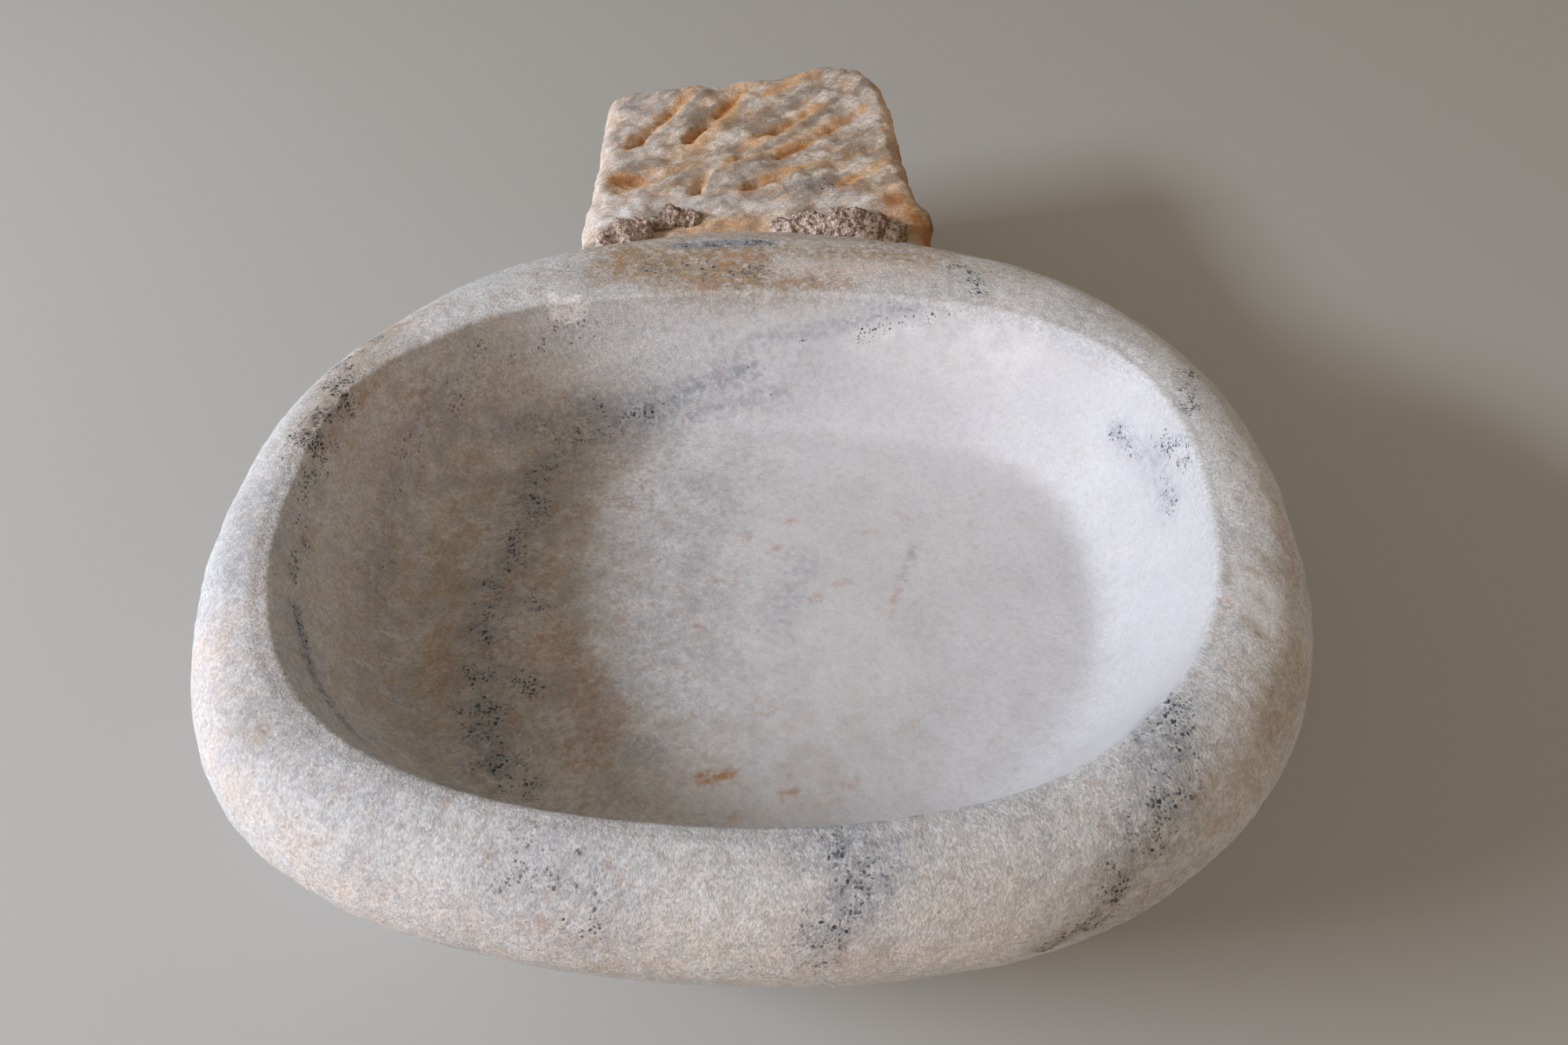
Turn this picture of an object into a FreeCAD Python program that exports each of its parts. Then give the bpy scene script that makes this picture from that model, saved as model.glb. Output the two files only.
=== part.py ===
import FreeCAD, Part
import os
from math import cos, pi, radians, sin, tan
from FreeCAD import Vector

# A holy water stoup carved from one block of coarse white marble: an oval bowl with a
# rolled rim, and behind it a rough tail that was walled in and carried the bowl.
# Crusts of the old mortar bed still sit where the tail leaves the bowl.
#
# Millimetres. X runs to the right, Y towards the wall and Z up. The origin lies on the
# resting plane, below the middle of the bowl's widest line.

# ---- Driving dimensions -------------------------------------------------------------

# Bowl, outside. Front and back are measured from the widest line.
bowl_width = 480.0
bowl_front = 214.0
bowl_back = 217.0
bowl_height = 155.0
bowl_front_fullness = 0.69       # 0.55 is an ellipse, more is squarer
bowl_back_fullness = 0.61

# Rim: from its crown it rolls out to the bowl's girth, and in over the lip.
crown_camber = 1.0
girth_drop = 40.0                # crown down to the girth, the bowl's widest level
roll_width = 28.0                # crown out to the girth
roll_width_back = 44.0
lip_width = 6.0
lip_height = 7.0

# Flank: it draws in from the girth down to the flat base.
base_inset = 62.0
base_inset_back = 22.0
flank_swell = 1.35               # 1 is a straight cone, more bulges

# Basin. The opening is measured at the foot of the lip, the floor lies below the crown.
opening_width = 392.0
opening_front = 176.0
opening_back = 128.0
opening_shift = -3.0             # the basin was cut a little to the left
opening_front_fullness = 0.68
opening_back_fullness = 0.74
basin_depth = 72.0
wall_run = 36.0                  # how far the wall slopes in, at sides and front
wall_run_back = 27.0
wall_roundness = 0.5             # 0 is a straight wall, 1 a full cove

# Tail, behind the bowl. Widths are measured at its underside.
tail_length = 197.0              # back of the bowl to the middle of the tail's end
tail_width_root = 215.0
tail_width_end = 198.0
tail_shift_root = -8.0           # the tail leans a little to the left of the bowl's middle
tail_shift_end = -27.0
tail_drop = 12.0                 # crown of the rim down to the tail's top
tail_lift = 20.0                 # resting plane up to the tail's underside
tail_lean = 4.0                  # how far the sides lean in towards the top
tail_edge_round = 15.0
tail_end_slant = 15.0            # degrees, the right side runs on further
tail_bedding = 60.0              # how far the tail's root is carried into the bowl

# Furrows of the point chisel across the tail's top.
furrow_width = 12.0
furrow_depth = 5.0
furrow_clear = 1.0               # the stroke's tool starts above the surface
furrow_run_out = 0.2             # what is left of its size where it leaves the surface

# Mortar crusts.
crust_height = 9.0               # above the tail's top
crust_sink = 4.0                 # carried below it, then trimmed to the stone
lump_corner_count = 9
lump_unevenness = 0.12

# Chisel strokes, each from where it bites: share of the tail's length behind the bowl,
# share of its half width to the right, length, and direction in degrees from X.
furrows = [
    (0.22, -0.77, 52.0, 33.0),
    (0.19, -0.33, 22.0, 68.0),
    (0.22, -0.03, 46.0, 31.0),
    (0.24, 0.56, 18.0, 46.0),
    (0.39, -0.10, 98.0, 35.0),
    (0.55, 0.14, 51.0, 52.0),
    (0.48, -0.74, 80.0, 65.0),
    (0.50, -0.39, 80.0, 68.0),
]

# Lumps of mortar: share of the tail's length behind the bowl, share of its half width to
# the right, and the lump's half sizes along X and Y.
crusts = {
    "mortar_crust_left": [(-0.07, -0.69, 12.0, 13.0), (-0.08, -0.62, 9.0, 9.0)],
    "mortar_crust_middle": [(0.01, -0.39, 12.0, 10.0), (0.0, -0.32, 9.0, 8.0)],
    "mortar_crust_right": [(-0.015, 0.34, 17.0, 11.0), (-0.02, 0.54, 18.0, 14.0),
                           (-0.045, 0.67, 10.0, 15.0)],
}

# Bands of the bowl's skin.
flank_band_count = 6
roll_band_count = 7
lip_band_count = 3
wall_band_count = 7

# ---- Sizes that follow ----------------------------------------------------------------

girth_level = bowl_height - girth_drop
lip_top = bowl_height - crown_camber
lip_foot = bowl_height - lip_height
floor_level = bowl_height - basin_depth
tail_top = bowl_height - tail_drop
tail_root = bowl_back - tail_bedding
tail_end = bowl_back + tail_length


# Even steps from 0 to a quarter turn, both ends included.
def quarter_turn(steps):
    return [pi / 2 * i / steps for i in range(steps + 1)]


# Control points of an oval in four smooth quarters, from its right end and round by its
# far side. Fullness sets the quarters' shape: 0.55 makes an ellipse, 1 nearly a box.
def oval(half_width, near, far, near_fullness, far_fullness):
    near_x, near_y = near_fullness * half_width, -near_fullness * near
    far_x, far_y = far_fullness * half_width, far_fullness * far
    return [(half_width, 0), (half_width, far_y), (far_x, far),
            (0, far), (-far_x, far), (-half_width, far_y),
            (-half_width, 0), (-half_width, near_y), (-near_x, -near),
            (0, -near), (near_x, -near), (half_width, near_y)]


# The closed wire of four quarter curves through an oval's control points.
def closed_wire(poles):
    edges = []
    for i in range(0, len(poles), 3):
        quarter = Part.BezierCurve()
        quarter.setPoles([poles[(i + k) % len(poles)] for k in range(4)])
        edges.append(quarter.toShape())
    return Part.Wire(edges)


# A solid of straight bands between outlines.
def banded_solid(outlines):
    return Part.makeLoft([closed_wire(outline) for outline in outlines], True, True)


# The bowl's outline at a level, drawn in from the girth.
def bowl_outline(level, inset, inset_back):
    points = oval(bowl_width / 2 - inset, bowl_front - inset, bowl_back - inset_back,
                  bowl_front_fullness, bowl_back_fullness)
    return [Vector(x, y, level) for x, y in points]


# The basin's outline at a level, drawn in from the opening.
def basin_outline(level, inset, inset_back):
    points = oval(opening_width / 2 - inset, opening_front - inset, opening_back - inset_back,
                  opening_front_fullness, opening_back_fullness)
    return [Vector(x + opening_shift, y, level) for x, y in points]


# From the base up to just below the girth.
def flank_outlines():
    outlines = []
    for i in range(flank_band_count):
        share = 1 - i / flank_band_count
        draw = share ** flank_swell
        outlines.append(bowl_outline(girth_level * (1 - share), base_inset * draw,
                                     base_inset_back * draw))
    return outlines


# From the girth in over the roll, along the crown, and down to the foot of the lip.
def rim_outlines():
    roll = []
    for angle in quarter_turn(roll_band_count):
        inward = 1 - cos(angle)
        level = girth_level + (lip_top - girth_level) * sin(angle)
        roll.append(bowl_outline(level, roll_width * inward, roll_width_back * inward))
    lip = []
    for angle in quarter_turn(lip_band_count):
        outward = lip_width * (1 - sin(angle))
        level = lip_top - (lip_top - lip_foot) * (1 - cos(angle))
        lip.append(basin_outline(level, -outward, -outward))
    crown = [(a + b) / 2 + Vector(0, 0, crown_camber) for a, b in zip(roll[-1], lip[0])]
    return roll + [crown] + lip


# Down the basin's wall and through its cove to the floor.
def wall_outlines():
    outlines = []
    for angle in quarter_turn(wall_band_count)[1:]:
        straight, cove = sin(angle), 1 - cos(angle)
        inward = straight + wall_roundness * (cove - straight)
        level = lip_foot - (lip_foot - floor_level) * sin(angle)
        outlines.append(basin_outline(level, wall_run * inward, wall_run_back * inward))
    return outlines


# The bowl is one skin that runs from the base over the rim to the basin's floor.
def make_bowl():
    return banded_solid(flank_outlines() + rim_outlines() + wall_outlines())


# The tail's plan at a level, where its sides lean in by lean.
def tail_plan(level, lean):
    root = tail_width_root / 2 - lean
    end = tail_width_end / 2 - lean
    slant = tan(radians(tail_end_slant))
    corners = [Vector(tail_shift_root - root, tail_root, level),
               Vector(tail_shift_root + root, tail_root, level),
               Vector(tail_shift_end + end, tail_end + end * slant, level),
               Vector(tail_shift_end - end, tail_end - end * slant, level)]
    return Part.makePolygon(corners + corners[:1])


# The tail: a rough block that tapers to a slanted end, its edges worn round.
def make_tail():
    block = Part.makeLoft([tail_plan(tail_lift, 0.0), tail_plan(tail_top, tail_lean)], True, True)
    worn = [edge for edge in block.Edges if edge.BoundBox.YMax > tail_root + tail_edge_round]
    return block.makeFillet(tail_edge_round, worn)


# The place on the tail's top at a share of its length behind the bowl and a share of its
# half width to the right of its middle line.
def on_tail(along, across):
    y = bowl_back + along * tail_length
    share = (y - tail_root) / (tail_end - tail_root)
    middle = tail_shift_root + share * (tail_shift_end - tail_shift_root)
    half_width = (tail_width_root + share * (tail_width_end - tail_width_root)) / 2
    return Vector(middle + across * half_width, y, tail_top)


# A solid of flat facets between similar rings of corners.
def faceted_solid(rings):
    outlines = [rings[0], rings[-1]]
    for lower, upper in zip(rings, rings[1:]):
        for i in range(len(lower)):
            outlines.append([lower[i - 1], lower[i], upper[i], upper[i - 1]])
    faces = [Part.Face(Part.makePolygon(outline + outline[:1])) for outline in outlines]
    shell = Part.Shell(faces)
    shell.sewShape()
    solid = Part.Solid(shell)
    if solid.Volume < 0:
        solid.reverse()
    return solid


# One chisel stroke: a tapering groove that bites at its start and runs out at the surface.
def make_furrow(along, across, length, direction):
    run = Vector(cos(radians(direction)), sin(radians(direction)), 0)
    side = Vector(-run.y, run.x, 0) * (furrow_width / 2)
    start = on_tail(along, across) + Vector(0, 0, furrow_clear)
    rings = []
    for distance, scale in ((0.0, 1.0), (length, furrow_run_out)):
        middle = start + run * distance
        bottom = Vector(0, 0, -(furrow_depth + furrow_clear) * scale)
        rings.append([middle - side * scale, middle + bottom, middle + side * scale])
    return faceted_solid(rings)


# The whole stone: bowl and tail in one piece, scored by the chisel.
def make_stone():
    stone = make_bowl().fuse(make_tail())
    return stone.cut([make_furrow(*stroke) for stroke in furrows])


# A craggy lump on the tail's top: three uneven rings that narrow upwards, the lowest sunk
# into the stone.
def make_lump(along, across, half_x, half_y):
    middle = on_tail(along, across)
    rings = []
    for spread, rise in ((1.0, -crust_sink), (0.85, 0.55 * crust_height), (0.45, crust_height)):
        ring = []
        for i in range(lump_corner_count):
            angle = 2 * pi * i / lump_corner_count
            reach = spread * (1 + lump_unevenness * cos(3 * angle))
            ring.append(middle + Vector(half_x * reach * cos(angle),
                                        half_y * reach * sin(angle), rise))
        rings.append(ring)
    return faceted_solid(rings)


# A crust is its lumps grown together, trimmed to seat on the stone.
def make_crust(lumps, stone):
    crust = make_lump(*lumps[0])
    for lump in lumps[1:]:
        crust = crust.fuse(make_lump(*lump))
    return crust.cut(stone)


def main():
    os.makedirs("parts", exist_ok=True)
    stone = make_stone()
    stone.exportStep("parts/stoup_stone.step")
    for name, lumps in crusts.items():
        make_crust(lumps, stone).exportStep("parts/" + name + ".step")


main()
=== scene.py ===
import math
import bmesh
import bpy
import numpy as np
from mathutils import Matrix, Vector, noise


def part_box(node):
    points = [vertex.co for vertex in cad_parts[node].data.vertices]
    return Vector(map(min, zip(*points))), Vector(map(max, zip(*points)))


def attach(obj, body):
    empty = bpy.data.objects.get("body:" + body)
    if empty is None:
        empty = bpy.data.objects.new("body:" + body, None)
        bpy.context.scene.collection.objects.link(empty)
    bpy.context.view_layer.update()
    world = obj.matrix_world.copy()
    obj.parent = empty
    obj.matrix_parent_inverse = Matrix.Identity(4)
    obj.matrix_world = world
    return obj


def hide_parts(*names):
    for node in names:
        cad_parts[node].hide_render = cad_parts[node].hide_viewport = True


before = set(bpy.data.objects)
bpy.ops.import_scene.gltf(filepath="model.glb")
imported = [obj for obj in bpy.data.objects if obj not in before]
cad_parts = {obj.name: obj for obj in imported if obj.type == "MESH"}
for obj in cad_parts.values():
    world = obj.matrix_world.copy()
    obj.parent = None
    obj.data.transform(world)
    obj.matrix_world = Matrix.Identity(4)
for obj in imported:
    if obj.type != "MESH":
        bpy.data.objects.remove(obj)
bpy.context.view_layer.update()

mm = 0.001


# sRGB hex to the linear colour that Blender's sockets take
def toLinear(hexColour):
    channels = [int(hexColour[i:i + 2], 16) / 255 for i in (1, 3, 5)]
    return [c / 12.92 if c <= 0.04045 else ((c + 0.055) / 1.055) ** 2.4 for c in channels] + [1.0]


# adds a shader node with its settings; a socket takes a value or another node's output
def addNode(tree, kind, sockets=(), **settings):
    node = tree.nodes.new("ShaderNode" + kind)
    for name, value in settings.items():
        setattr(node, name, value)
    for name, value in dict(sockets).items():
        if isinstance(value, bpy.types.NodeSocket):
            tree.links.new(value, node.inputs[name])
        else:
            node.inputs[name].default_value = value
    return node


# a new material and its shader
def newMaterial(name, roughness):
    material = bpy.data.materials.new(name)
    material.use_nodes = True
    shader = material.node_tree.nodes["Principled BSDF"]
    shader.inputs["Roughness"].default_value = roughness
    return material, shader


# the place on the piece, in millimetres
def placeOnPiece(tree):
    place = addNode(tree, "TexCoord").outputs["Object"]
    return addNode(tree, "VectorMath", {0: place, "Scale": 1 / mm}, operation="SCALE").outputs[0]


# 0 below low, 1 above high and a smooth rise between
def smoothStep(value, low, high):
    share = np.clip((value - low) / (high - low), 0.0, 1.0)
    return share * share * (3.0 - 2.0 * share)


# fractal noise at each point, with features of about the given size; another seed gives
# another noise
def grainAt(points, size, octaves, seed):
    shift = Vector((seed, seed * 1.7, seed * 2.3))
    fade, finer = 1.0, 2.0         # of each octave against the one before
    return np.array([noise.fractal(Vector(point) / size + shift, fade, finer, octaves)
                     for point in points.tolist()])


# how near each point is to a line of points: 1 on it, fading out over the width
def nearness(points, line, width):
    line = np.array(line, dtype=float)
    best = np.full(len(points), 1e9)
    for start, end in zip(line, line[1:]):
        run = end - start
        share = np.clip((points - start) @ run / (run @ run), 0.0, 1.0)
        gap = points - start - share[:, None] * run
        best = np.minimum(best, (gap * gap).sum(axis=1))
    return np.exp(-best / width ** 2)


# the mesh's points in millimetres
def readPoints(mesh):
    flat = np.empty(len(mesh.vertices) * 3)
    mesh.vertices.foreach_get("co", flat)
    return flat.reshape(-1, 3) / mm


def readNormals(mesh):
    flat = np.empty(len(mesh.vertices) * 3)
    mesh.vertex_normals.foreach_get("vector", flat)
    return flat.reshape(-1, 3)


def writePoints(mesh, points):
    mesh.vertices.foreach_set("co", (points * mm).ravel())
    mesh.update()


# an attribute with a value at each point, for the material to read
def writeMask(mesh, name, values):
    layer = mesh.attributes.new(name, "FLOAT", "POINT")
    layer.data.foreach_set("value", values.astype(np.float32))


# bakes a piece's modifiers into its mesh
def applyModifiers(piece):
    graph = bpy.context.evaluated_depsgraph_get()
    baked = bpy.data.meshes.new_from_object(piece.evaluated_get(graph))
    piece.modifiers.clear()
    spare = piece.data
    piece.data = baked
    bpy.data.meshes.remove(spare)


def newPiece(name, mesh):
    piece = bpy.data.objects.new(name, mesh)
    bpy.context.scene.collection.objects.link(piece)
    return piece


# a mesh from a bmesh that has done its work
def toMesh(bm, name):
    mesh = bpy.data.meshes.new(name)
    bm.to_mesh(mesh)
    bm.free()
    return mesh


# a vertex group that holds each point with its share
def addGroup(piece, name, shares):
    group = piece.vertex_groups.new(name=name)
    for i, share in enumerate(shares.tolist()):
        group.add([i], share, "REPLACE")


def shadeSmooth(mesh):
    mesh.polygons.foreach_set("use_smooth", [True] * len(mesh.polygons))


# remeshes a piece into even quads; voxel in mm
def remesh(piece, voxel):
    modifier = piece.modifiers.new("Remesh", "REMESH")
    modifier.mode = "VOXEL"
    modifier.voxel_size = voxel * mm
    applyModifiers(piece)


# the carved block's outlines, millimetres, as in the frame; an oval's powers say how square
# its front and its back are, 2 is an ellipse
blockShape = {
    "halfWidth": 240, "front": 214, "back": 217, "powers": (2.51, 2.19),
    "openingLeft": 3, "openingHalf": 196, "openingFront": 176, "openingBack": 128,
    "openingPowers": (2.47, 2.75),
    "lipWidth": 6.0, "lipFoot": 148, "lipHeight": 6,
    "tailRoot": 157, "tailLength": 257,
    "tailLeft": (8, 19),          # at the root, and added towards the end
    "tailHalf": (107.5, 8.5),     # at the root, and taken off towards the end
}

# where its regions blend into each other, in shares of an outline or in millimetres
regionEdges = {
    "tail": (0.93, 0.965), "tailSides": (-8, -2), "tailFrom": 120,
    "basin": (-1.015, -0.985), "basinFrom": 60,
    "lipMiddle": 1.01, "lip": (-0.09, -0.02), "lipFrom": 125,
}

# how its skin is worked, millimetres
stoneShape = {
    "voxel": 2.3,
    "bowlSmoothing": 25,          # rounds the skin's straight bands
    "edgeSmoothing": 3,           # over the lip and the tail
    "lipSharpness": 5.0,          # 2 leaves the lip round, more squares it up
    "bowl": [(48, 0.75), (15, 0.32), (4.5, 0.24)],   # size and height of the roughness
    "basin": [(60, 0.9), (22, 0.2)],
    "tail": [(28, 2.6), (12, 1.6), (5, 0.6)],
    "bowlSink": 0.7, "basinSink": 0.5, "tailSink": 1.8,   # keep the highs within the block
    "pitSize": 5.5, "pitDepth": 0.35,
    "pitFrom": 0.28, "pitSlope": 3,                  # of the noise that places the pits
    "footing": (0.4, 4.0),        # the resting face stays flat, the skin is rough above it
    "strokeHeights": (95, 130),   # strokes bite on the tail's top only
    "triangles": 196000,
    "thinHeights": (96, 112), "thinFacing": (0.2, 0.6),   # thinned below, and where it faces down
}

# where the hand-carved block leaves its even outline: middle, reach and shift
swells = [
    ((-168, 92, 150), 34, (4.0, -3.0, 0.0)),       # the lip is wider at the back left
    ((-175, -150, 118), 55, (-2.0, -2.5, 0.0)),
    ((-205, 95, 118), 55, (2.5, -2.0, 0.0)),
    ((175, -150, 118), 55, (-2.5, 2.5, 0.0)),
    ((72, 442, 110), 34, (-10.0, -6.0, 0.0)),      # the tail's right corner is broken off
    ((70, 436, 143), 24, (-8.0, -9.0, -5.0)),
    ((32, 424, 143), 28, (0.0, 0.0, 6.0)),
    ((94, 226, 134), 20, (6.0, 0.0, 6.0)),
]

# shallow scars where the rim has flaked: middle, half sizes and depth
scars = [
    ((199, -74), (8, 21), 0.35),
    ((186, -74), (3, 4), 1.0),
]

# chisel strokes on the tail: where each bites and where it runs out, half width and depth
strokes = [
    ((-104, 296), (-88, 316), 4.0, 1.1),
    ((-98, 308), (-80, 344), 5.5, 2.8),
    ((-84, 340), (-64, 376), 5.5, 2.7),
    ((-72, 384), (-52, 396), 5.0, 2.3),
    ((-62, 316), (-40, 356), 6.0, 2.7),
    ((-44, 352), (-24, 396), 7.5, 3.3),
    ((-14, 378), (16, 410), 4.5, 1.4),
    ((-17, 320), (24, 362), 5.0, 2.5),
    ((-33, 290), (-10, 302), 5.0, 2.2),
    ((-2, 294), (34, 334), 5.5, 3.0),
    ((24, 326), (54, 357), 5.0, 2.3),
    ((42, 297), (66, 314), 4.5, 1.7),
    ((-98, 250), (-73, 273), 4.5, 1.6),
    ((-100, 266), (-82, 269), 6.0, 1.6),
    ((-69, 274), (-49, 290), 4.0, 1.4),
    ((-51, 252), (-41, 280), 4.5, 2.5),
    ((-22, 256), (20, 285), 5.0, 2.7),
    ((36, 263), (57, 281), 5.0, 2.2),
    ((50, 261), (76, 259), 5.0, 1.1),
]


# 1 on an oval's outline, less inside; the powers set how square its front and back are
def ovalReach(x, y, frontPower, backPower):
    power = np.where(y < 0, frontPower, backPower)
    return (abs(x) ** power + abs(y) ** power) ** (1 / power)


# the same for the basin's opening at the lip's foot, or grown from there
def openingReach(x, y, grow=0.0):
    block = blockShape
    length = np.where(y < 0, block["openingFront"], block["openingBack"]) + grow
    return ovalReach((x + block["openingLeft"]) / (block["openingHalf"] + grow), y / length,
                     *block["openingPowers"])


# distance of each point inside (-) or outside (+) the tail's left and right sides
def tailAside(x, y):
    share = np.clip((y - blockShape["tailRoot"]) / blockShape["tailLength"], 0.0, 1.0)
    left, leftAdded = blockShape["tailLeft"]
    half, taper = blockShape["tailHalf"]
    return abs(x + left + leftAdded * share) - (half - taper * share)


# how far each point belongs to the tail, to the basin and to the lip between rim and basin
def stoneRegions(points):
    x, y, z = points.T
    block, edges = blockShape, regionEdges
    length = np.where(y < 0, block["front"], block["back"])
    bowl = ovalReach(x / block["halfWidth"], y / length, *block["powers"])
    tail = smoothStep(bowl, *edges["tail"]) * smoothStep(-tailAside(x, y), *edges["tailSides"])
    tail = tail * (y > edges["tailFrom"])
    opening = openingReach(x, y)
    basin = smoothStep(-opening, *edges["basin"]) * (z > edges["basinFrom"])
    lip = smoothStep(-abs(opening - edges["lipMiddle"]), *edges["lip"]) * (z > edges["lipFrom"])
    return tail, basin, lip


# squares up the lip's quarter round, which runs from its foot out and up to its top
def sharpenLip(points, sharpness):
    x, y, z = points.T
    block = blockShape
    left, height = block["openingLeft"], block["lipHeight"]
    foot, top = 1 / openingReach(x, y), 1 / openingReach(x, y, block["lipWidth"])
    inward = (top - 1) / (top - foot)
    side, rise = np.clip(inward, 0.0, 2.0), np.clip((z - block["lipFoot"]) / height, 0.0, 2.0)
    power = (side ** sharpness + rise ** sharpness) ** (1 / sharpness)
    least, clear = 0.1, 8     # less has no corner to square up; mm below the foot where it ends
    stretch = np.hypot(side, rise) / np.maximum(power, least) - 1
    stretch[(power < least) | (z < block["lipFoot"] - clear)] = 0.0
    shift = 1 - (top - foot) * side * stretch
    return np.stack([(x + left) * shift - left, y * shift, z + height * rise * stretch], axis=1)


# depth of the chisel strokes at each point, 0 outside them; a stroke bites within a few
# millimetres and gets shallower and narrower as it runs out
def strokeDepth(points):
    before, after, past = -4, 3, 1.1      # mm about the bite, and the share where it ends
    depth = np.zeros(len(points))
    for start, end, halfWidth, deepest in strokes:
        run = np.array(end, dtype=float) - start
        length = np.hypot(*run)
        offset = points[:, :2] - start
        along = offset @ run / length ** 2
        across = abs(offset @ np.array([-run[1], run[0]])) / length
        bite = smoothStep(along, before / length, after / length)
        taper = bite * (1 - 0.7 * smoothStep(along, 0.3, past))
        profile = np.clip(1 - across / (halfWidth * (0.6 + 0.4 * taper)), 0.0, 1.0)
        depth = np.maximum(depth, deepest * taper * profile * (along < past))
    return depth


# depth of the rim's scars, which have ragged edges
def scarDepth(points, rim):
    furthest, raggedness, raggedSize = 1.8, 0.35, 8       # in the scar's half sizes, and mm
    depth = np.zeros(len(points))
    for (x, y), (halfX, halfY), deepest in scars:
        reach = np.hypot((points[:, 0] - x) / halfX, (points[:, 1] - y) / halfY)
        near = (reach < furthest) & (rim > 0.5)
        ragged = reach[near] + raggedness * grainAt(points[near], raggedSize, 3, 11.0)
        depth[near] = np.maximum(depth[near], deepest * smoothStep(-ragged, -1.0, -0.75))
    return depth


# unevenness of a region's surface, worked out only where it belongs
def relief(points, region, share):
    height = np.zeros(len(points))
    near = share > 0.01
    for size, most in stoneShape[region]:
        height[near] += share[near] * most * grainAt(points[near], size, 2, size)
    return height


def makeStone():
    shape = stoneShape
    piece = newPiece("stone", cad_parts["stoup_stone"].data.copy())
    bm = bmesh.new()
    bm.from_mesh(piece.data)
    bmesh.ops.remove_doubles(bm, verts=bm.verts, dist=1e-5)
    bm.to_mesh(piece.data)
    bm.free()
    remesh(piece, shape["voxel"])
    print("stone remeshed", len(piece.data.polygons))

    tail, _, lip = stoneRegions(readPoints(piece.data))
    addGroup(piece, "bowl", (1 - tail) * (1 - lip))
    for groupName, turns in (("", shape["edgeSmoothing"]), ("bowl", shape["bowlSmoothing"])):
        modifier = piece.modifiers.new("Smooth", "SMOOTH")
        modifier.iterations = turns
        modifier.vertex_group = groupName
    applyModifiers(piece)

    points, normals = readPoints(piece.data), readNormals(piece.data)
    points = sharpenLip(points, shape["lipSharpness"])
    tail, basin, _ = stoneRegions(points)
    rim, hollow = (1 - tail) * (1 - basin), (1 - tail) * basin
    rough = relief(points, "bowl", rim) + relief(points, "basin", hollow)
    rough += relief(points, "tail", tail)
    rough -= shape["bowlSink"] * rim + shape["basinSink"] * hollow + shape["tailSink"] * tail
    pits = np.clip(grainAt(points, shape["pitSize"], 2, 5.0) - shape["pitFrom"], 0.0, 1.0)
    rough -= rim * shape["pitDepth"] * pits * shape["pitSlope"]
    rough -= scarDepth(points, rim)
    standing = smoothStep(points[:, 2], *shape["footing"])
    points += normals * (rough * standing)[:, None]
    onTop = smoothStep(points[:, 2], *shape["strokeHeights"])
    points[:, 2] -= strokeDepth(points) * tail * onTop
    # each swell follows a line that is short enough to be a point
    for middle, reach, shift in swells:
        points += nearness(points, [middle, np.add(middle, 0.1)], reach)[:, None] * shift
    low, high = (np.array(corner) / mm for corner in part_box("stoup_stone"))
    writePoints(piece.data, np.clip(points, low, high))
    print("stone roughened")

    # thinned out on the flank and the underside only
    lowest, highest = shape["thinHeights"]
    below = smoothStep(-points[:, 2], -highest, -lowest)
    addGroup(piece, "below",
             (1 - basin) * np.maximum(below, smoothStep(-normals[:, 2], *shape["thinFacing"])))
    modifier = piece.modifiers.new("Decimate", "DECIMATE")
    modifier.vertex_group = "below"
    modifier.ratio = min(1.0, shape["triangles"] / (2 * len(piece.data.polygons)))
    applyModifiers(piece)
    writePoints(piece.data, np.clip(readPoints(piece.data), low, high))
    piece.vertex_groups.clear()
    shadeSmooth(piece.data)
    print("stone thinned", len(piece.data.polygons))
    return piece


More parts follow.
